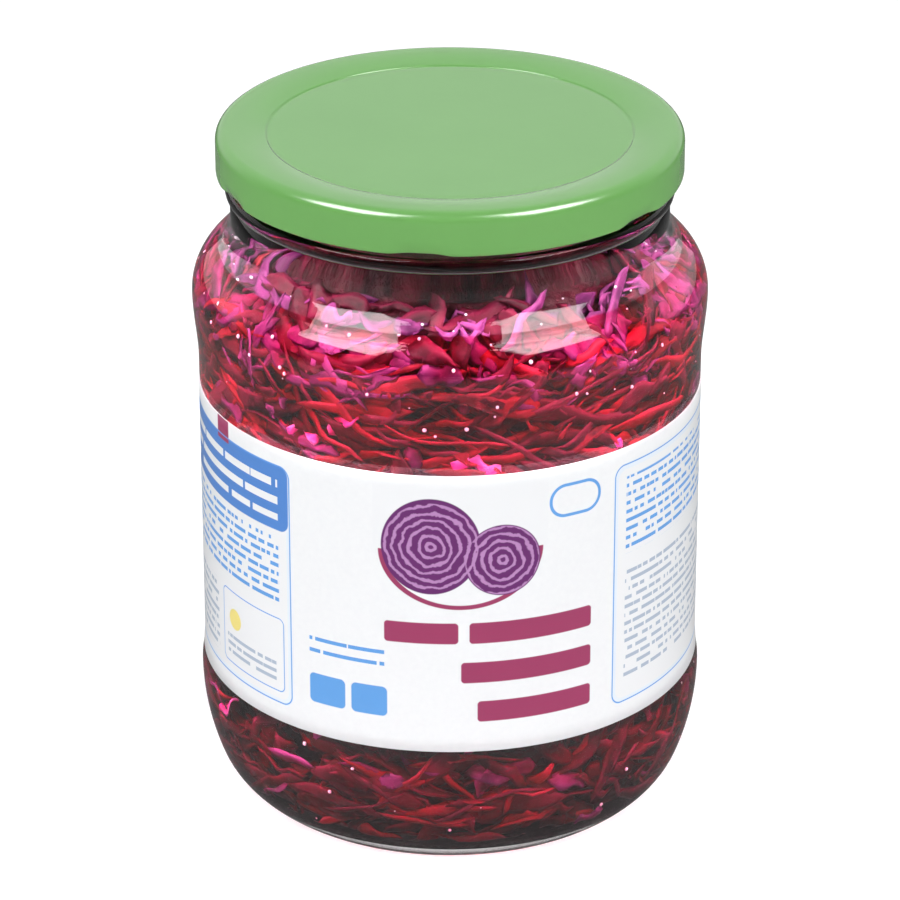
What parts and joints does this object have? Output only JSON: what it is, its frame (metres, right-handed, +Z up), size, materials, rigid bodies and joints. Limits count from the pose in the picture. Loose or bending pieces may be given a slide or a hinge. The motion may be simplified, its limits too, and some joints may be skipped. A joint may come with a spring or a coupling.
{
  "type": "jar of fermented red cabbage",
  "caption": "Shut glass jar of shredded red cabbage in brine, with a green twist-off lid and a wrap-round paper label.",
  "frame": {"origin": "middle of the base, on the plane that the jar stands on", "axes": "+Z up along the jar's axis; the front of the label looks along -Y, +X to its right"},
  "size_m": [0.0952, 0.0952, 0.1313],
  "materials": {
    "glass": "gloss",
    "cabbage": "wet",
    "label": "satin paper",
    "lid": "gloss"
  },
  "bodies": {
    "root": {"glass_jar": "glass", "contents": "cabbage", "label": "label", "lid": "lid"}
  },
  "joints": []
}
